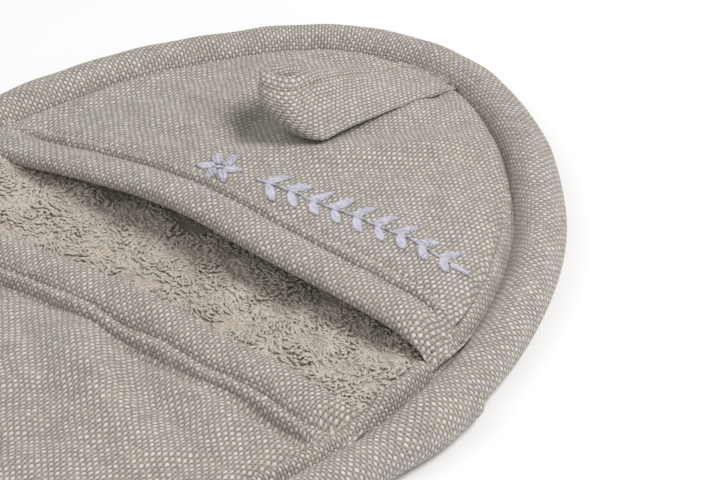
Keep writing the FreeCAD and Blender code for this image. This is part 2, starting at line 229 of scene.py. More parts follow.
def grid(name, points, uv, material, wrap=False, flip=False, caps=False):
    """Object from a grid of points; uv has one more column where the grid's rows close on themselves."""
    rows, columns = points.shape[:2]
    index, corners = grid_faces(rows, columns, wrap, flip)
    faces = index.tolist()
    corner_uv = uv[corners[..., 0], corners[..., 1]].reshape(-1, 2)
    if caps:
        for row in (0, rows - 1):
            ring = [row * columns + j for j in range(columns)]
            if (row == 0) == flip:
                ring.reverse()
            faces.append(ring)
            ring_uv = uv[row, [k % columns for k in ring]]
            corner_uv = np.concatenate([corner_uv, ring_uv])
    return mesh(name, points, faces, corner_uv, material)


def thicken(obj, thickness):
    """Gives an open sheet its thickness, below the surface it was drawn as."""
    solid = obj.modifiers.new("thickness", "SOLIDIFY")
    solid.thickness = thickness * MM
    solid.offset = -1
    return obj


# ---- Materials -------------------------------------------------------------------------
class Nodes:
    """Short ways to add and join a material's nodes."""

    def __init__(self, name):
        self.material = bpy.data.materials.new(name)
        self.material.use_nodes = True
        self.tree = self.material.node_tree
        self.shader = self.tree.nodes["Principled BSDF"]

    def put(self, socket, value):
        if isinstance(value, bpy.types.NodeSocket):
            self.tree.links.new(value, socket)
        else:
            socket.default_value = value

    def math(self, operation, a, b=0.0, c=0.0):
        node = self.tree.nodes.new("ShaderNodeMath")
        node.operation = operation
        for socket, value in zip(node.inputs, (a, b, c)):
            self.put(socket, value)
        return node.outputs[0]

    def mix(self, share, a, b):
        node = self.tree.nodes.new("ShaderNodeMix")
        node.data_type = "RGBA"
        self.put(node.inputs[0], share)
        for socket, value in ((node.inputs[6], a), (node.inputs[7], b)):
            self.put(socket, (*value, 1.0) if isinstance(value, tuple) else value)
        return node.outputs[2]

    def ramp(self, value, low, high):
        node = self.tree.nodes.new("ShaderNodeMapRange")
        node.interpolation_type = "SMOOTHSTEP"
        for socket, v in zip(node.inputs, (value, low, high, 0.0, 1.0)):
            self.put(socket, v)
        return node.outputs[0]

    def uv(self):
        node = self.tree.nodes.new("ShaderNodeUVMap")
        node.uv_map = "Cloth"
        split = self.tree.nodes.new("ShaderNodeSeparateXYZ")
        self.put(split.inputs[0], node.outputs[0])
        return split.outputs[0], split.outputs[1]

    def vector(self, x, y, z=0.0):
        node = self.tree.nodes.new("ShaderNodeCombineXYZ")
        for socket, value in zip(node.inputs, (x, y, z)):
            self.put(socket, value)
        return node.outputs[0]

    def noise(self, vector, scale, detail=2.0, roughness=0.5):
        node = self.tree.nodes.new("ShaderNodeTexNoise")
        self.put(node.inputs["Vector"], vector)
        node.inputs["Scale"].default_value = scale
        node.inputs["Detail"].default_value = detail
        node.inputs["Roughness"].default_value = roughness
        return node.outputs[0]

    def place(self):
        """Object coordinates, in metres."""
        return self.tree.nodes.new("ShaderNodeTexCoord").outputs["Object"]

    def bump(self, height, millimetres):
        node = self.tree.nodes.new("ShaderNodeBump")
        node.inputs["Distance"].default_value = millimetres * MM
        self.put(node.inputs["Height"], height)
        return node.outputs[0]

    def finish(self, colour, normal, roughness=0.9, sheen=0.25):
        shader = self.shader
        self.put(shader.inputs["Base Color"], colour)
        self.put(shader.inputs["Normal"], normal)
        self.put(shader.inputs["Roughness"], roughness)
        shader.inputs["Specular IOR Level"].default_value = 0.25
        shader.inputs["Sheen Weight"].default_value = sheen
        shader.inputs["Sheen Roughness"].default_value = 0.5
        return self.material


def shaded(colour, share):
    return tuple(min(1, share * c) for c in colour)


def weave(name, light, ground, pitch=1.0, relief=0.32):
    """Plain weave: pale threads one way over darker ones, drawn from the UV in mm."""
    n = Nodes(name)
    u, v = n.uv()
    flat = n.vector(u, v)
    # The threads wander a little, so that the rows are not ruled.
    wander_u = n.math("SUBTRACT", n.noise(flat, 0.11, 1.0), 0.5)
    wander_v = n.math("SUBTRACT", n.noise(n.vector(v, u, 9.0), 0.11, 1.0), 0.5)
    u = n.math("ADD", n.math("DIVIDE", u, pitch), n.math("MULTIPLY", wander_u, 1.6))
    v = n.math("ADD", n.math("DIVIDE", v, pitch), n.math("MULTIPLY", wander_v, 1.6))
    wave_u = n.math("SINE", n.math("MULTIPLY", u, math.pi))
    wave_v = n.math("SINE", n.math("MULTIPLY", v, math.pi))
    side_u, side_v = n.math("SIGN", wave_u), n.math("SIGN", wave_v)
    thread_u, thread_v = n.math("FLOOR", u), n.math("FLOOR", v)
    # Slubs: each thread is thicker and paler in places along its run.
    apart = 7.3                # in the noise, so that one thread's slubs are not its neighbour's
    slub_u = n.noise(n.vector(n.math("MULTIPLY", thread_u, apart), n.math("MULTIPLY", v, 0.28)), 1.0)
    slub_v = n.noise(n.vector(n.math("MULTIPLY", u, 0.16), n.math("MULTIPLY", thread_v, apart), 5.0), 1.0)

    def thread(across, lift, slub, least, spread):
        offset = n.math("ABSOLUTE", n.math("MULTIPLY_ADD", n.math("FRACT", across), 2.0, -1.0))
        half = n.math("MULTIPLY_ADD", slub, spread, least)
        share = n.math("MINIMUM", n.math("DIVIDE", offset, half), 1.0)
        round_top = n.math("SQRT", n.math("SUBTRACT", 1.0, n.math("MULTIPLY", share, share)))
        return n.math("ADD", n.math("MULTIPLY", round_top, 0.62), n.math("MULTIPLY", lift, 0.40))

    over_u = n.math("MULTIPLY", wave_v, side_u)
    over_v = n.math("MULTIPLY", n.math("MULTIPLY", wave_u, side_v), -1.0)
    pale, dark = thread(u, over_u, slub_u, 0.42, 0.62), thread(v, over_v, slub_v, 0.78, 0.35)
    height = n.math("MAXIMUM", pale, dark)
    on_top = n.ramp(n.math("SUBTRACT", pale, dark), -0.06, 0.10)
    fibre = n.noise(n.vector(u, v), 9.0, 3.0, 0.7)
    pale_tone = n.mix(n.ramp(slub_u, 0.30, 0.70), shaded(light, 0.76), shaded(light, 1.08))
    dark_tone = n.mix(n.ramp(slub_v, 0.25, 0.80), shaded(ground, 0.84), shaded(ground, 1.22))
    colour = n.mix(on_top, dark_tone, pale_tone)
    # Painted shade: the colour darkens where the threads are low, down between them.
    colour = n.mix(n.math("MULTIPLY", n.ramp(height, 0.66, 0.16), 0.85), colour,
                   shaded(ground, 0.30))
    colour = n.mix(n.math("MULTIPLY", fibre, 0.22), colour, shaded(ground, 0.5))
    mottle = n.noise(n.place(), 42.0, 2.0)
    colour = n.mix(n.ramp(mottle, 0.35, 0.70), colour, n.mix(0.06, colour, (0.20, 0.15, 0.10)))
    bumped = n.bump(n.math("MULTIPLY_ADD", fibre, 0.16, height), relief)
    return n.finish(colour, bumped, roughness=n.math("MULTIPLY_ADD", fibre, 0.15, 0.78), sheen=0.18)


def thread_material(name, colour, shade, sheen=0.3, roughness=0.55):
    """Twisted thread: fine slanting plies along the UV's u, with painted shade in stripes along them."""
    n = Nodes(name)
    u, v = n.uv()
    ply = n.math("SINE", n.math("ADD", n.math("MULTIPLY", u, 9.0), n.math("MULTIPLY", v, 7.0)))
    tone = n.noise(n.place(), 700.0, 2.0)
    mixed = n.mix(n.ramp(tone, 0.3, 0.7), shade, colour)
    # Painted shade: darker in slanting stripes, one to each ply.
    mixed = n.mix(n.math("MULTIPLY_ADD", ply, 0.12, 0.12), mixed, shaded(shade, 0.6))
    return n.finish(mixed, n.bump(ply, 0.05), roughness=roughness, sheen=sheen)


def terry_material(name, colour, shade):
    """Looped cotton yarn: painted shade darkens it towards the feet of the loops, so it is paler at the
    tips; with fine fibres.
    """
    n = Nodes(name)
    _, v = n.uv()
    tone = n.noise(n.place(), 160.0, 3.0)
    fibre = n.noise(n.place(), 4200.0, 2.0)
    mixed = n.mix(n.ramp(tone, 0.30, 0.72), shade, colour)
    # Painted shade: darker towards the feet of the loops, where v of the UV is low.
    mixed = n.mix(n.math("MULTIPLY", n.ramp(v, 0.6, 0.0), 0.35), mixed, shaded(shade, 0.5))
    return n.finish(mixed, n.bump(fibre, 0.06), roughness=0.92, sheen=0.25)


LIGHT_YARN, GROUND_YARN = (0.730, 0.703, 0.662), (0.400, 0.350, 0.296)
canvas = weave("canvas", LIGHT_YARN, GROUND_YARN)
tape = weave("binding_tape", LIGHT_YARN, GROUND_YARN)
lining_cloth = weave("lining", (0.52, 0.47, 0.40), (0.40, 0.35, 0.29), pitch=0.55, relief=0.12)
terry_cloth = terry_material("terry", (0.620, 0.566, 0.498), (0.555, 0.500, 0.435))
ground_cloth = weave("terry_ground", (0.62, 0.55, 0.47), (0.50, 0.44, 0.37), pitch=0.8, relief=0.2)
batting = terry_material("wadding", (0.80, 0.78, 0.73), (0.70, 0.68, 0.62))
sewing = thread_material("sewing_thread", (0.62, 0.56, 0.47), (0.50, 0.44, 0.36))
gilt = thread_material("seam_thread", (0.66, 0.58, 0.38), (0.55, 0.47, 0.30))
silk = thread_material("embroidery_thread", (0.72, 0.71, 0.79), (0.54, 0.52, 0.63), 0.5, 0.42)

# ---- Cloth surfaces --------------------------------------------------------------------
CREASE = 14.4                  # depth of the crease where the pockets meet the edge binding
SEAM_Z = 7.0
CANVAS_T, LINING_T = 1.1, 0.7
BAND_MIDDLE = 6.0              # from the front of a mouth to the top of its roll
LOOP_MOUTH_Y = 11.8
PLAIN_MOUTH_Y = 12.6
# Height of each mouth's cloth along X, from side to side.
LOOP_MOUTH = [(-80, 7.2), (-70, 7.6), (-58, 9.0), (-44, 12.2), (-28, 15.4), (-12, 17.4), (4, 17.8),
              (20, 17.2), (36, 16.2), (51, 14.8), (64, 13.4), (73, 9.6), (80, 7.4)]
PLAIN_MOUTH = [(-80, 7.4), (-70, 8.0), (-56, 8.4), (-40, 8.6), (-25, 9.4), (-10, 10.8), (6, 12.0),
               (22, 11.2), (40, 10.4), (55, 10.0), (66, 9.4), (74, 8.4), (80, 7.4)]


def pillow(d, width):
    """Rises from 0 to 1 over width, round like the side of a cushion."""
    t = np.clip(d / width, 0, 1)
    return np.sqrt(1 - (1 - t) ** 2)


def terry_z(x, y):
    lumps = 0.75 * ripple(x, y, 17, 3) + 0.35 * ripple(x, y, 8, 4)
    return 6.7 - 2.3 * smooth(19.0, 15.2, depth(x, y)) + lumps * smooth(15, 26, depth(x, y))


def crease(x, y):
    """Depth of the crease: further in at the +X side, where the binding's lip shows."""
    return CREASE + 2.5 * smooth(20, 55, x) * smooth(84, 56, np.abs(y))


def loop_pocket_z(x, y):
    d = depth(x, y) - crease(x, y)
    puff = 1.0 + 1.9 * smooth(24, 64, y) - 0.5 * smooth(40, 70, x)
    start = LOOP_MOUTH_Y + BAND_MIDDLE
    t = np.clip((y - start) / (reach_y(x, CREASE) - start), 0, 1)
    crest = curve_through(LOOP_MOUTH, x) - SEAM_Z
    z = puff * pillow(d, 5.0) + np.maximum(crest - puff, 0) * (1 - t ** 2) ** 1.15
    z = z + 0.25 * ripple(x, y, 34, 11) * smooth(0, 14, d)
    z = z - 0.9 * np.exp(-((y - LOOP_MOUTH_Y - 16.4) / 1.6) ** 2) * smooth(0, 8, d)
    z = z + fold_line(x, y, LOOP_RIDGE, 7.0, 1.5) + fold_line(x, y, LOOP_FURROW, 7.0, -3.2)
    # Drawn down where the hanging loop is sewn in.
    z = z * (1 - 0.72 * np.exp(-((x - 4) / 15) ** 2 - ((y - 111) / 10) ** 2))
    return SEAM_Z + np.maximum(z, 0)


LOOP_RIDGE = [(5, 50), (13, 60), (22, 72), (30, 84), (36, 94)]
LOOP_FURROW = [(-12, 46), (-15, 58), (-18, 70), (-22, 84)]
PLAIN_FURROW = [(4, -21), (12, -27), (20, -33), (31, -39.5), (48, -43)]
PLAIN_RIDGE = [(-2, -27), (8, -35), (19, -43), (32, -52)]


def plain_pocket_z(x, y):
    d = depth(x, y) - crease(x, y)
    start = PLAIN_MOUTH_Y + BAND_MIDDLE
    t = np.clip((-y - start) / (reach_y(x, CREASE) - start), 0, 1)
    crest = curve_through(PLAIN_MOUTH, x) - SEAM_Z
    puff = 1.1 + 1.6 * smooth(20, 60, -y)
    z = puff * pillow(d, 5.0) + np.maximum(crest - puff, 0) * (1 - t ** 2) ** 2.2
    z = z + 1.2 * smooth(4, 26, d) * smooth(18, 40, -y)
    z = z - (1.6 + 0.5 * ripple(x, 0 * x, 24, 14)) * np.exp(-((-y - PLAIN_MOUTH_Y - 16.6) / 1.6) ** 2)
    z = z + fold_line(x, y, PLAIN_FURROW, 5.5, -3.4) + fold_line(x, y, PLAIN_RIDGE, 8.0, 2.6)
    z = z + 0.22 * ripple(x, y, 30, 12) * smooth(0, 14, d)
    return SEAM_Z + np.maximum(z, -0.4)


SETTLE_PITCH = 3.6
SETTLE_FRAMES = 22
SETTLE_SCALE = 0.01            # the simulation runs at ten times life size


def settle(height, side, front):
    """Lets a pocket's cloth, cut a little full, sag and wrinkle between its seam and its mouth.

    Returns the height of the cloth afterwards, as a function of x and y.
    """
    across = np.arange(-81.0, 81.1, SETTLE_PITCH)
    along = np.arange(front + 8.0, 124.0, SETTLE_PITCH)
    x, y = np.meshgrid(across, side * along)
    start = height(x, y)
    free = smooth(1.0, 9.0, depth(x, y) - crease(x, y)) * smooth(front + 17, front + 27, np.abs(y))
    data = bpy.data.meshes.new("settling")
    index, _ = grid_faces(*x.shape)
    net = np.stack([x, y, start], -1).reshape(-1, 3) * SETTLE_SCALE
    data.from_pydata(net.tolist(), [], index.tolist())
    piece = add_object("settling", data)
    scene = bpy.context.scene
    group = piece.vertex_groups.new(name="held")
    for i, share in enumerate(free.ravel()):
        group.add([i], float(1 - 0.5 * share), "REPLACE")
    cloth = piece.modifiers.new("cloth", "CLOTH")
    cloth.settings.vertex_group_mass = "held"
    cloth.settings.quality = 6
    cloth.settings.mass = 0.25
    cloth.settings.tension_stiffness = cloth.settings.compression_stiffness = 18.0
    cloth.settings.shear_stiffness = 6.0
    cloth.settings.bending_stiffness = 6.0
    cloth.settings.effector_weights.gravity = 0.04
    cloth.settings.shrink_min = -0.016
    cloth.point_cache.frame_start, cloth.point_cache.frame_end = 1, SETTLE_FRAMES
    for frame in range(1, SETTLE_FRAMES + 1):
        scene.frame_set(frame)
    settled = piece.evaluated_get(bpy.context.evaluated_depsgraph_get()).to_mesh()
    after = np.empty(len(settled.vertices) * 3, np.float32)
    settled.vertices.foreach_get("co", after)
    change = (after.reshape(*x.shape, 3)[..., 2] / SETTLE_SCALE - start) * np.minimum(1, free * 1.5)
    bpy.data.objects.remove(piece)
    bpy.data.meshes.remove(data)
    scene.frame_set(1)

    def weights(t):
        return ((1 - t) ** 3 / 6, (3 * t ** 3 - 6 * t ** 2 + 4) / 6,
                (-3 * t ** 3 + 3 * t ** 2 + 3 * t + 1) / 6, t ** 3 / 6)

    def settled_height(px, py):
        column = np.clip((px - across[0]) / SETTLE_PITCH, 1, across.size - 2.001) + 0 * py
        row = np.clip((side * py - along[0]) / SETTLE_PITCH, 1, along.size - 2.001) + 0 * px
        i, j = row.astype(int), column.astype(int)
        total = height(px, py)
        for a, row_weight in enumerate(weights(row - i)):
            for b, column_weight in enumerate(weights(column - j)):
                total = total + row_weight * column_weight * change[i + a - 1, j + b - 1]
        return total

    return settled_height


def pocket_sheet(name, side, height, drop, inset, front, material, rows=120, columns=190):
    """A pocket's cloth, from under the mouth's band to the seam at the edge."""
    around, normal = rim(np.linspace(0, AROUND, 4000, endpoint=False))
    pull = inset + crease(around[:, 0], around[:, 1]) - CREASE
    around = around - pull[:, None] * normal
    run = around[around[:, 1] * side > front]
    run = run[np.argsort(np.arctan2(run[:, 1] * side, run[:, 0]))[::-1]]
    gone = run_lengths(run, 0)
    wanted = np.linspace(0.004, 0.996, columns) * gone[-1]
    oval = np.stack([np.interp(wanted, gone, run[:, 0]), np.interp(wanted, gone, run[:, 1])], -1)
    mouth_x = np.linspace(run[0, 0], run[-1, 0], columns)
    mouth = np.stack([mouth_x, np.full(columns, side * front)], -1)
    share = (1 - (1 - np.linspace(0.0, 1, rows)) ** 1.4)[:, None, None]
    flat = mouth * (1 - share) + oval * share
    x, y = flat[..., 0], flat[..., 1]
    points = np.stack([x, y, height(x, y) - drop], -1)
    return grid(name, points, flat, material, flip=side > 0)


# ---- Pockets ---------------------------------------------------------------------------
def build_pocket(side, end, height, front):
    cloth = pocket_sheet(end + "_pocket_cloth", side, height, 0.0, CREASE - 0.6, front + 2.5,
                         canvas)
    thicken(cloth, CANVAS_T)
    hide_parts(end + "_pocket_canvas")
    inner = pocket_sheet(end + "_pocket_inner_cloth", side, height, CANVAS_T + 0.15, CREASE - 0.2,
                         front + 2.0, lining_cloth, rows=60, columns=120)
    thicken(inner, LINING_T)
    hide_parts(end + "_pocket_lining")
    return cloth, inner


# Section of a mouth's tape: how far behind the front, and how far above the cloth.
BAND_SECTION = [(12.5, -2.0), (8.0, -2.3), (4.2, -2.4), (1.9, -2.1), (0.5, -1.0), (0.0, 0.2), (0.5, 1.5),
                (1.9, 2.5), (4.2, 3.0), (6.6, 2.9), (8.8, 2.2), (10.2, 1.1), (10.9, -0.2),
                (11.4, -0.6), (12.0, 0.6), (12.8, 1.6), (13.8, 1.95), (14.8, 1.5), (15.4, 0.4),
                (15.2, -0.5), (14.3, -0.8), (13.2, -1.0)]


def rounded(points, closed, steps):
    """Catmull-Rom curve through points."""
    points = np.array(points, float)
    count = len(points)
    out = []
    for i in range(count if closed else count - 1):
        picks = [(i + k) % count if closed else min(max(i + k, 0), count - 1) for k in (-1, 0, 1, 2)]
        p0, p1, p2, p3 = points[picks]
        for t in np.arange(steps) / steps:
            out.append(0.5 * (2 * p1 + (p2 - p0) * t + (2 * p0 - 5 * p1 + 4 * p2 - p3) * t ** 2
                              + (3 * p1 - p0 - 3 * p2 + p3) * t ** 3))
    if not closed:
        out.append(points[-1])
    return np.array(out)


def mouth_front(side, x):
    if side > 0:
        return LOOP_MOUTH_Y + 0.35 * ripple(x, 0 * x, 40, 21)
    return PLAIN_MOUTH_Y + 0.5 * ripple(x, 0 * x, 34, 22) + 1.6 * smooth(-18, -46, x)


def build_band(side, end, height):
    section = rounded(BAND_SECTION, True, 3)
    x = np.linspace(-reach_x(22.0, 11.0), reach_x(22.0, 12.6), 190)[:, None]
    v, w = section[:, 0][None], section[:, 1][None]
    front = mouth_front(side, x)
    # The lip's inner edge wavers, and the roll is fuller in some places than in others.
    lip = smooth(11.5, 16.0, v)
    v = v + lip * 0.45 * ripple(x, 0 * x, 22, 31 + side)
    w = w * (1 + 0.07 * ripple(x, 0 * x, 26, 35 + side)) + lip * 0.35 * ripple(x, 0 * x, 19, 41 + side)
    y = side * (front + v)
    base = height(x + 0 * v, side * (front + np.clip(v, 0, 17))) - 0.25
    # The sides of the band are pressed down where it goes under the edge binding.
    ends = smooth(16.4, 23.0, depth(x + 0 * y, y))
    z = base + w * (0.22 + 0.78 * ends) - 1.1 * smooth(18.5, 16.0, depth(x + 0 * y, y)) * smooth(0, 20, x)
    points = np.stack([x + 0 * v, y, z], -1)
    lengths = run_lengths(np.concatenate([points, points[:, :1]], 1), 1)
    uv = np.stack([np.broadcast_to(x, lengths.shape), lengths], -1)
    band = grid(end + "_mouth_tape", points, uv, tape, wrap=True, flip=side < 0, caps=True)
    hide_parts(end + "_mouth_binding")
    return band


# ---- Edge binding ----------------------------------------------------------------------
# Section of the tape: depth from the mitt's edge, and height.
EDGE_OUTER = [(17.2, 0.25), (13.0, 0.15), (9.0, 0.1), (5.6, 0.15), (3.2, 0.6), (1.4, 1.7), (0.35, 3.3),
              (0.0, 5.1), (0.35, 6.9), (1.4, 8.5), (3.1, 9.7), (5.3, 10.3), (7.6, 10.3), (9.7, 9.5),
              (11.4, 8.0), (12.6, 6.2), (13.4, 5.1), (14.1, 6.3), (15.1, 7.9), (16.4, 8.1), (17.3, 7.0)]
EDGE_INNER = [(17.0, 5.9), (15.0, 5.2), (13.4, 4.2), (11.8, 5.4), (9.6, 7.8), (7.2, 8.9), (4.4, 8.5),
              (2.2, 6.9), (1.3, 5.0), (2.0, 3.0), (4.2, 1.6), (8.0, 1.25), (13.0, 1.25), (17.0, 1.1)]
# The finishing end of the tape, over its start: fuller, and its lip stands up off the seam.
LAP_OUTER = [(17.2, 0.2), (13.0, 0.1), (9.0, 0.05), (5.4, 0.05), (2.4, 0.25), (0.1, 1.2), (-1.2, 3.1),
             (-1.6, 5.4), (-1.1, 8.0), (0.3, 10.2), (2.6, 11.7), (5.2, 12.3), (7.8, 12.0), (9.8, 10.7),
             (11.3, 8.6), (12.2, 6.4), (12.8, 6.0), (13.4, 8.6), (14.5, 10.6), (16.2, 10.8), (17.6, 9.0)]
LAP_END = 10.8                 # where the tape finishes, along the oval from +X
LAP_RUN = 15.0
LAP_GROW = 22.0                # the tape swells to its finishing end over this much of the oval
FOLD_IN = 0.9                  # the finishing end turns down over this length


def build_edge_binding():
    plain = rounded(EDGE_OUTER + EDGE_INNER, True, 2)
    lapped = rounded(LAP_OUTER + EDGE_INNER, True, 2)
    last = AROUND + LAP_END
    fine = AROUND - LAP_GROW - 2
    s = np.concatenate([np.arange(LAP_END - LAP_RUN, fine, 1.25), np.linspace(fine, last - 1.0, 48),
                        last - np.array([0.7, 0.4, 0.15, 0.0])])
    grow = smooth(AROUND - LAP_GROW, AROUND - 2, s)
    # The folded end turns down on to the tape below it.
    finish = 1 - np.sqrt(np.clip((s - (last - FOLD_IN)) / FOLD_IN, 0, 1)) * 0.75
    grow = (grow * np.where(s > AROUND, finish, 1))[:, None, None]
    section = plain[None] * (1 - grow) + lapped[None] * grow
    d, z = section[..., 0], section[..., 1]
    # Slight unevenness in how full the roll is.
    full = 1 + 0.02 * ripple(s, 0 * s, 55, 51) + 0.012 * ripple(s, 0 * s, 16, 52)
    upper = smooth(4.0, 9.0, z)
    z = z * (1 + (full[:, None] - 1) * upper)
    point, normal = rim(s)
    xy = point[:, None] - d[..., None] * normal[:, None]
    points = np.concatenate([xy, z[..., None]], -1)
    lengths = run_lengths(np.concatenate([section, section[:, :1]], 1), 1)
    uv = np.stack([np.broadcast_to(s[:, None] * 0.96, lengths.shape), lengths], -1)
    piece = grid("edge_tape", points, uv, tape, wrap=True, caps=True)
    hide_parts("edge_binding_loop_half", "edge_binding_plain_half", "edge_binding_lapped_end")
    return piece


# ---- Pad -------------------------------------------------------------------------------
BACK_INSET, WADDING_INSET, TERRY_INSET = 6.0, 6.5, 14.8


def oval_rings(inset, rings, spokes, crowding, first):
    """Rings of points in the plane, from near the middle out to the oval, closer together at its edge."""
    around, normal = rim(np.linspace(0, AROUND, spokes, endpoint=False))
    share = 1 - (1 - np.linspace(0, 1, rings)) ** crowding
    share[0] = first
    return share[:, None, None] * (around - inset * normal)[None]


def oval_sheet(name, inset, height, material, thickness, rings=40, upward=True):
    flat = oval_rings(inset, rings, 256, 1.4, 0.003)
    points = np.concatenate([flat, height(flat[..., 0], flat[..., 1])[..., None]], -1)
    uv = np.concatenate([flat, flat[:, :1]], axis=1)
    sheet = grid(name, points, uv, material, wrap=True, flip=not upward)
    return thicken(sheet, thickness)


def back_z(x, y):
    """The back canvas touches what the mitt lies on in the middle, and lifts to its seam."""
    d = depth(x, y)
    return 0.35 + 1.0 * smooth(26, 15, d) + 0.12 * ripple(x, y, 30, 61) * smooth(16, 30, d)


def ground_z(x, y):
    """The terry's ground cloth, a little up among the feet of its loops."""
    return terry_z(x, y) + 0.5 * smooth(17, 22, depth(x, y))


def build_pad():
    back = oval_sheet("back_panel", BACK_INSET, back_z, canvas, 0.9, upward=False)
    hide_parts("back_panel_loop_half", "back_panel_plain_half")
    base = oval_sheet("terry_panel", TERRY_INSET, ground_z, ground_cloth, 1.2, rings=60)
    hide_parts("terry_panel_loop_half", "terry_panel_plain_half")
    return back, base


def build_wadding():
    """Closed pad between the back canvas and the terry."""
    flat = oval_rings(WADDING_INSET, 30, 160, 1.6, 0.004)
    x, y = flat[..., 0], flat[..., 1]
    edge = pillow(depth(x, y) - WADDING_INSET, 5.0)
    low, high = 2.15, 3.3
    top = high + (terry_z(x, y) - 1.5 - high) * edge
    bottom = high - (high - low) * edge + 0.1 * ripple(x, y, 12, 71) * edge
    upper = np.concatenate([flat, top[..., None]], -1)
    lower = np.concatenate([flat, bottom[..., None]], -1)[::-1]
    points = np.concatenate([upper, lower[1:]], 0)
    uv = points[..., :2]
    uv = np.concatenate([uv, uv[:, :1]], 1)
    pad = grid("wadding", points, uv, batting, wrap=True, caps=True)
    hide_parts("wadding_loop_half", "wadding_plain_half")
    return pad


# ---- Terry pile ------------------------------------------------------------------------
PILE_PITCH = 1.02
PILE_LOW, PILE_HIGH = -20.0, 31.0    # the pile is modelled between these, under both mouths
YARN = 0.32
SKEW = np.array([0.31, 0.17, 0.93])  # a direction that hardly any yarn runs in


def build_pile(name, x_low, x_high):
    """Loops of yarn that stand on the terry, curl over and go back in, leaning in tufts."""
    columns = np.arange(x_low, x_high, PILE_PITCH)
    rows = np.arange(PILE_LOW, PILE_HIGH, PILE_PITCH)
    x, y = (a.ravel() for a in np.meshgrid(columns, rows))
    x = x + rng.uniform(-0.45, 0.45, x.size)
    y = y + rng.uniform(-0.45, 0.45, y.size)
    # None where a pocket's cloth lies too low over it.
    room = np.where(y > 0, loop_pocket_z(x, y), plain_pocket_z(x, y)) - CANVAS_T - LINING_T - terry_z(x, y)
    covered = (y > LOOP_MOUTH_Y + 2) | (y < -PLAIN_MOUTH_Y - 2)
    keep = (depth(x, y) > 17.6) & (~covered | (room > 2.6))
    x, y = x[keep], y[keep]
    count = x.size
    heading = 1.5 * ripple(x, y, 10, 81) + 0.9 * ripple(x, y, 24, 82) + rng.normal(0, 0.45, count) - 1.2
    tall = 1.25 + 0.4 * ripple(x, y, 10, 83) + rng.uniform(-0.4, 0.4, count)
    lean = rng.uniform(0.6, 1.6, count)
    wide = rng.uniform(0.48, 0.80, count)
    spin = heading + rng.uniform(0.7, 2.4, count)
    steps = 9
    t = np.linspace(0, 1, steps)[None]
    # Out and back along a hoop that tips over towards the heading.
    hoop = np.pi * (1.22 * t - 0.11)
    side, rise = wide[:, None] * np.cos(hoop) * (0.55 + 0.6 * np.sin(np.pi * t)), np.sin(hoop)
    over = lean[:, None] * rise ** 2
    path = np.stack([
        x[:, None] + over * np.cos(heading)[:, None] + side * np.cos(spin)[:, None],
        y[:, None] + over * np.sin(heading)[:, None] + side * np.sin(spin)[:, None],
        terry_z(x, y)[:, None] - 0.25 + tall[:, None] * np.maximum(rise, -0.2) * (1 - 0.16 * rise ** 4),
    ], -1)
    path = path + rng.normal(0, 0.07, path.shape)
    tangent = unit(np.gradient(path, axis=1))
    aside = np.cross(tangent, SKEW)
    aside /= np.linalg.norm(aside, axis=-1, keepdims=True) + 1e-9
    third = np.cross(tangent, aside)
    sides = 4
    turn = np.arange(sides) * 2 * math.pi / sides
    ring = (aside[:, :, None] * np.cos(turn)[:, None] + third[:, :, None] * np.sin(turn)[:, None])
    thick = YARN * rng.uniform(0.85, 1.2, count)
    points = path[:, :, None] + thick[:, None, None, None] * ring
    index, corners = grid_faces(steps, sides, wrap=True, flip=True)
    faces = (index[None] + (np.arange(count) * steps * sides)[:, None, None]).reshape(-1, 4)
    rise_uv = np.broadcast_to(rise, (count, steps))
    uv = np.stack([np.broadcast_to(t * 5, (count, steps)), rise_uv], -1)
    corner_uv = uv[:, corners[..., 0]].reshape(-1, 2)
    return mesh(name, points, faces.tolist(), corner_uv, terry_cloth)


# ---- Stitches --------------------------------------------------------------------------
def capsules(name, middles, runs, radius, material, ups=UP, sag=0.25):
    """Stitches as short arched threads: middle, half length along the run, and up direction of each."""
    sides, rings = 6, 7
    ups = np.broadcast_to(ups, runs.shape)
    t = np.linspace(-1, 1, rings)
    taper = np.sqrt(np.maximum(1 - t ** 4, 0.02))
    turn = np.arange(sides) * 2 * math.pi / sides
    along = unit(runs)
    across = unit(np.cross(along, ups))
    ups = np.cross(across, along)
    dip = (sag * t ** 2)[:, None]
    line = middles[:, None] + runs[:, None] * t[:, None] - ups[:, None] * dip
    ring = across[:, None, None] * np.cos(turn)[:, None] + ups[:, None, None] * np.sin(turn)[:, None]
    points = line[:, :, None] + ring * (radius * taper)[None, :, None, None]
    count = len(middles)
    index, corners = grid_faces(rings, sides, wrap=True)
    faces = (index[None] + (np.arange(count) * rings * sides)[:, None, None]).reshape(-1, 4).tolist()
    uv = np.stack(np.meshgrid(np.linspace(0, 2, rings), np.arange(sides + 1) / 3.0, indexing="ij"), -1)
    corner_uv = np.tile(uv[corners[..., 0], corners[..., 1]].reshape(-1, 2), (count, 1))
    ends = []
    for i in range(count):
        start = i * rings * sides
        ends.append([start + k for k in range(sides)][::-1])
        ends.append([start + (rings - 1) * sides + k for k in range(sides)])
    corner_uv = np.concatenate([corner_uv, np.zeros((len(ends) * sides, 2))])
    return mesh(name, points, faces + ends, corner_uv, material)


STITCH_PITCH, STITCH_HALF, STITCH_R = 3.4, 1.15, 0.2
FINE_R = 0.13
EDGE_STITCH_INSET, EDGE_STITCH_Z = 13.4, 5.45    # in the edge tape's groove
MOUTH_STITCH_BEHIND = 11.2     # from the front of a mouth to its tape's groove


def build_edge_stitches():
    s = np.arange(LAP_END + 2, AROUND - 3, STITCH_PITCH)
    point, normal = rim(s)
    middle = np.column_stack([point - EDGE_STITCH_INSET * normal, np.full(s.size, EDGE_STITCH_Z)])
    run = np.stack([-normal[:, 1], normal[:, 0], 0 * s], -1) * STITCH_HALF
    piece = capsules("edge_stitches", middle, run, STITCH_R, sewing)
    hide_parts("edge_stitching_loop_half", "edge_stitching_plain_half")
    return piece


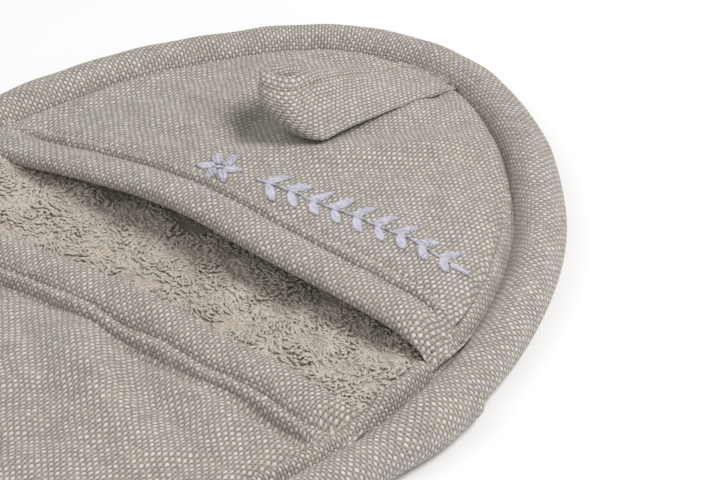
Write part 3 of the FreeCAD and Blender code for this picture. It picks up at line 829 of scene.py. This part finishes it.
def build_mouth_stitches(side, end, height):
    reach = reach_x(24.0, 17.0)
    x = np.arange(-reach, reach, STITCH_PITCH)
    y = side * (mouth_front(side, x) + MOUTH_STITCH_BEHIND)
    z = height(x, y) - 0.3
    ahead = height(x + 1, y) - 0.3
    middle = np.stack([x, y, z], -1)
    run = np.stack([np.ones_like(x), 0 * x, ahead - z], -1) * STITCH_HALF
    piece = capsules(end + "_mouth_stitches", middle, run, STITCH_R, sewing)
    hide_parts(end + "_mouth_stitching")
    return piece


# ---- Embroidered sprig -----------------------------------------------------------------
BLOSSOM = np.array([-7.0, 32.8])
SPRIG_TURN = math.radians(7.0)
STEM_START, STEM_END, STEM_BOW = 11.0, 66.0, 1.6
LEAF_PAIRS = 9
SATIN_PITCH = 0.42
SATIN_R = 0.24


def satin(start, heading, length, width, slant=0.9):
    """Rows of thread that fill a pointed leaf, as (middle, half run) pairs in the plane."""
    rows = max(3, int(length / SATIN_PITCH))
    t = (np.arange(rows) + 0.5) / rows
    half = width / 2 * np.sin(math.pi * t ** 0.8) ** 0.8
    line = np.array([math.cos(heading), math.sin(heading)])
    across = np.array([math.cos(heading + slant), math.sin(heading + slant)])
    middle = start + t[:, None] * length * line
    return middle, half[:, None] * across / abs(math.sin(slant))


def build_sprig(height):
    runs = []
    cos, sin = math.cos(SPRIG_TURN), math.sin(SPRIG_TURN)
    turn = np.array([[cos, -sin], [sin, cos]])

    def stem_y(x):
        share = (x - STEM_START) / (STEM_END - STEM_START)
        return 4 * STEM_BOW * share * (1 - share)

    step = (STEM_END - STEM_START) / LEAF_PAIRS
    for i in range(LEAF_PAIRS):
        x = STEM_START + (i + 0.35) * step
        foot = np.array([x, stem_y(x)])
        size = 6.9 - 0.16 * i
        runs.append(satin(foot + (0.2, 0.7), math.radians(46), size, 3.3))
        runs.append(satin(foot + (1.2, -0.7), math.radians(-42), size, 3.3, slant=-0.9))
        x0, x1 = STEM_START + i * step, STEM_START + (i + 1) * step
        slope = math.atan2(stem_y(x1) - stem_y(x0), step)
        runs.append(satin(np.array([x0, stem_y(x0)]), slope, step + 0.6, 1.0, slant=0.7))
    runs.append(satin(np.array([STEM_END, 0.0]), -0.05, 5.2, 2.6))
    for i in range(6):
        heading = math.radians(60 * i + 12)
        foot = 1.1 * np.array([math.cos(heading), math.sin(heading)])
        runs.append(satin(foot, heading, 5.2, 3.5, slant=1.2))
    runs.append(satin(np.array([-0.9, 0.0]), 0.0, 1.8, 1.7))
    middle = np.concatenate([r[0] for r in runs]) @ turn.T + BLOSSOM
    half = np.concatenate([r[1] for r in runs]) @ turn.T
    middle = middle + rng.normal(0, 0.05, middle.shape)
    half = half * rng.uniform(0.93, 1.08, (len(half), 1))

    def lift(p):
        return np.column_stack([p, height(p[:, 0], p[:, 1]) + 0.42])

    centre = lift(middle)
    run = (lift(middle + half) - lift(middle - half)) / 2
    piece = capsules("sprig_threads", centre, run, SATIN_R, silk, sag=0.34)
    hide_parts("embroidered_sprig")
    return piece


# ---- Hanging loop ----------------------------------------------------------------------
TAG_WIDTH, TAG_T = 18.0, 2.5
TAG_TURN_R = 4.5               # from the middle of the loop's round end to the outside of its strip
# Near edge of the strip's upper face, from the root to where it turns round the end.
TAG_ROOT, TAG_TIP = np.array([11.4, 105.2, 11.4]), np.array([8.4, 53.6, 19.3])
TAG_RUN = math.hypot(*(TAG_TIP - TAG_ROOT)[:2])
TAG_ALONG = np.append((TAG_TIP - TAG_ROOT)[:2], 0.0) / TAG_RUN
TAG_ACROSS = np.array([TAG_ALONG[1], -TAG_ALONG[0], 0.0])
TAG_LEAN = (3.0, 42.0)         # degrees the strip leans over on its near edge, at the root and at the tip
TAG_SLIP = 8.5                 # the lower leg of the loop lies this much further over than the upper leg


def tag_point(along, below, across):
    """Point of the loop: distance out from the root, depth below its upper face, share across the strip."""
    along = along - (5.0 * (1 - across) ** 3 + 8.5 * across ** 3) * smooth(0.35 * TAG_RUN, TAG_RUN, along)
    lean = np.radians(TAG_LEAN[0] + (TAG_LEAN[1] - TAG_LEAN[0]) * smooth(0, TAG_RUN - 4, along))
    cos, sin = np.cos(lean)[..., None], np.sin(lean)[..., None]
    wide, face = TAG_ACROSS * cos + UP * sin, UP * cos - TAG_ACROSS * sin
    slip = TAG_SLIP * np.clip(below / (2 * TAG_TURN_R), 0, 1) * smooth(2, 24, along)
    near = TAG_ROOT + (TAG_TIP - TAG_ROOT) * (along / TAG_RUN)[..., None]
    return near + wide * (TAG_WIDTH * across + slip)[..., None] - face * below[..., None]


def tag_path():
    """Middle of the strip as (distance out, depth below the upper face): out below, round, and back."""
    out = np.linspace(0.0, TAG_RUN, 14)
    inside = TAG_TURN_R - TAG_T / 2
    gap = TAG_T / 2 + TAG_T + 0.1 + (2 * TAG_TURN_R - 2 * TAG_T - 0.1) * smooth(4, TAG_RUN - 4, out)
    lower = np.stack([out, gap], -1)
    angle = np.linspace(-0.36 * math.pi, 0.40 * math.pi, 7)
    end = np.stack([TAG_RUN + inside * np.cos(angle), TAG_TURN_R - inside * np.sin(angle)], -1)
    upper = np.stack([out[::-1], np.full(out.size, TAG_T / 2)], -1)
    line = rounded(np.concatenate([lower, end, upper]), False, 8)
    gone = run_lengths(line, 0)
    wanted = np.linspace(0, gone[-1], 170)
    return np.stack([np.interp(wanted, gone, line[:, k]) for k in (0, 1)], -1), wanted


# Half of the strip's section: share of its half width, and of its half thickness. It is a tape folded
# double, with its open edges sewn together along one side.
TAG_GROOVE = 0.68
TAG_HALF = [(0.0, 0.92), (0.25, 0.95), (0.5, 1.0), (0.62, 0.9), (TAG_GROOVE, 0.62), (0.74, 0.92),
            (0.84, 1.05), (0.93, 0.95), (0.99, 0.55), (0.975, 0.12), (0.93, 0.0)]


def tag_section():
    right = TAG_HALF + [(a, -b) for a, b in TAG_HALF[-2::-1]]
    left = [(-a, -b) for a, b in ((0.3, 0.95), (0.6, 0.95), (0.85, 0.9), (0.97, 0.6), (1.0, 0.0))]
    left += [(a, -b) for a, b in left[-2::-1]]
    return rounded(right + left, True, 2) * (TAG_WIDTH / 2, TAG_T / 2)


def strip(name, path, gone, section, material, height):
    """Sweeps the loop's section along a path of (distance out, depth below the face)."""
    tangent = unit(np.gradient(path, axis=0))
    a, b = section[None, :, 0], section[None, :, 1] * (1 + 0.08 * ripple(gone, 0 * gone, 22, 91))[:, None]
    along = path[:, :1] + b * tangent[:, 1:]
    below = path[:, 1:] - b * tangent[:, :1]
    across = 0.5 + (a + 0.3 * ripple(gone, 0 * gone, 38, 92)[:, None]) / TAG_WIDTH
    points = tag_point(along, below, across + 0 * along)
    # Nothing sinks into the pocket that the loop lies on.
    floor = height(points[..., 0], points[..., 1]) + 0.3
    points[..., 2] = np.maximum(points[..., 2], floor)
    lengths = run_lengths(np.concatenate([section, section[:1]]), 0)
    outer = run_lengths(points[:, np.argmin(np.abs(section[:, 0]) + 9 * (section[:, 1] > 0))], 0)
    uv = np.stack(np.broadcast_arrays(lengths[None], outer[:, None]), -1)
    return grid(name, points, uv, material, wrap=True, flip=True, caps=True)


def build_tag(height):
    path, gone = tag_path()
    piece = strip("hanging_loop_tape", path, gone, tag_section(), tape, height)
    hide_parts("hanging_loop")
    return piece


def build_tag_stitches():
    """Fine thread that closes the tape, in the groove along its far side."""
    path, gone = tag_path()
    at = np.arange(4, gone[-1] - 1, 2.1)
    along, below = np.interp(at, gone, path[:, 0]), np.interp(at, gone, path[:, 1])
    tangent = unit(np.stack([np.interp(at, gone, np.gradient(path[:, k])) for k in (0, 1)], -1))
    lift, across = -0.9, 0.5 + TAG_GROOVE / 2

    def place(step, rise):
        return tag_point(along + step * tangent[:, 0] + rise * tangent[:, 1],
                         below + step * tangent[:, 1] - rise * tangent[:, 0], across + 0 * along)

    middle = place(0, lift)
    run = (place(0.85, lift) - place(-0.85, lift)) / 2
    ups = place(0, lift - 1) - middle
    piece = capsules("hanging_loop_thread", middle, run, FINE_R, gilt, ups=ups)
    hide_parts("hanging_loop_stitching")
    return piece


def build_tag_root(height):
    """The sewn end of the strip, both legs together, going down under the edge binding."""
    out = np.linspace(1.5, -9.5, 14)
    dip = 3.4 * smooth(0.5, -8.5, out)
    section = tag_section() * (1.0, 1.9)
    path = np.stack([out, TAG_T + dip], -1)
    piece = strip("hanging_loop_sewn_end", path[::-1], out[::-1] + 10, section, tape, height)
    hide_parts("hanging_loop_root")
    return piece


# ---- Floor, light and camera -----------------------------------------------------------
CAMERA_AZIMUTH, CAMERA_ELEVATION, CAMERA_ROLL = math.radians(36.53), math.radians(37.06), math.radians(0.78)
CAMERA_TARGET = np.array([25.67, 48.98, 0.0])
CAMERA_DISTANCE, CAMERA_LENS = 653.5, 127.9
FLOOR_HALF = 4.0               # metres
SKY = 0.44


def area_light(name, place, size, power):
    light = bpy.data.lights.new(name, "AREA")
    light.shape, light.size, light.energy = "DISK", size, power
    lamp = add_object(name, light)
    lamp.location = place
    lamp.rotation_euler = (-Vector(place)).to_track_quat("-Z", "Y").to_euler()


def build_studio():
    scene = bpy.context.scene
    scene.view_settings.view_transform = "Standard"
    world = bpy.data.worlds.new("studio")
    world.use_nodes = True
    background = world.node_tree.nodes["Background"]
    background.inputs["Color"].default_value = (1.0, 1.0, 1.0, 1)
    background.inputs["Strength"].default_value = SKY
    scene.world = world
    data = bpy.data.meshes.new("floor")
    corners = [(FLOOR_HALF * a, FLOOR_HALF * b, 0) for a, b in ((-1, -1), (1, -1), (1, 1), (-1, 1))]
    data.from_pydata(corners, [], [(0, 1, 2, 3)])
    n = Nodes("floor")
    tone = n.noise(n.place(), 3.0, 2.0)
    data.materials.append(n.finish(n.mix(tone, (0.93, 0.93, 0.93), (0.96, 0.96, 0.96)),
                                   n.bump(tone, 0.1), roughness=0.6, sheen=0.0))
    floor = add_object("floor", data)
    area_light("key", (0.72, 0.45, 1.22), 0.8, 15.0)
    area_light("fill", (-0.7, -0.9, 1.2), 1.2, 5.0)
    back = np.array([math.sin(CAMERA_AZIMUTH) * math.cos(CAMERA_ELEVATION),
                     -math.cos(CAMERA_AZIMUTH) * math.cos(CAMERA_ELEVATION), math.sin(CAMERA_ELEVATION)])
    camera = add_object("camera", bpy.data.cameras.new("camera"))
    camera.data.lens = CAMERA_LENS
    camera.data.clip_start, camera.data.clip_end = 0.01, 20.0
    camera.location = Vector((CAMERA_TARGET + CAMERA_DISTANCE * back) * MM)
    look = Vector(-back).to_track_quat("-Z", "Y").to_matrix()
    camera.rotation_euler = (look @ Matrix.Rotation(CAMERA_ROLL, 3, "Z")).to_euler()
    scene.camera = camera


def bend(piece):
    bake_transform(piece)


build_studio()
edge = build_edge_binding()
bend(edge)
bend(build_edge_stitches())
back_panel, terry_panel = build_pad()
bend(back_panel)
bend(terry_panel)
wadding = build_wadding()
bend(wadding)
piles = [build_pile(f"terry_pile_{part + 1}", low, high)
         for part, (low, high) in enumerate(((-76, -25), (-25, 26), (26, 77)))]
for pile in piles:
    bend(pile)

loop_cloth = settle(loop_pocket_z, 1, LOOP_MOUTH_Y)
plain_cloth = settle(plain_pocket_z, -1, PLAIN_MOUTH_Y)
for side, end, body, height, front in ((1, "loop_end", LOOP, loop_cloth, LOOP_MOUTH_Y),
                                       (-1, "plain_end", PLAIN, plain_cloth, PLAIN_MOUTH_Y)):
    for piece in build_pocket(side, end, height, front):
        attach(piece, body)
    band = build_band(side, end, height)
    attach(band, body)
    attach(build_mouth_stitches(side, end, height), body)

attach(build_sprig(loop_cloth), LOOP)
tag_root = build_tag_root(loop_cloth)
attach(tag_root, LOOP)
tag = build_tag(loop_cloth)
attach(tag, TAG)
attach(build_tag_stitches(), TAG)
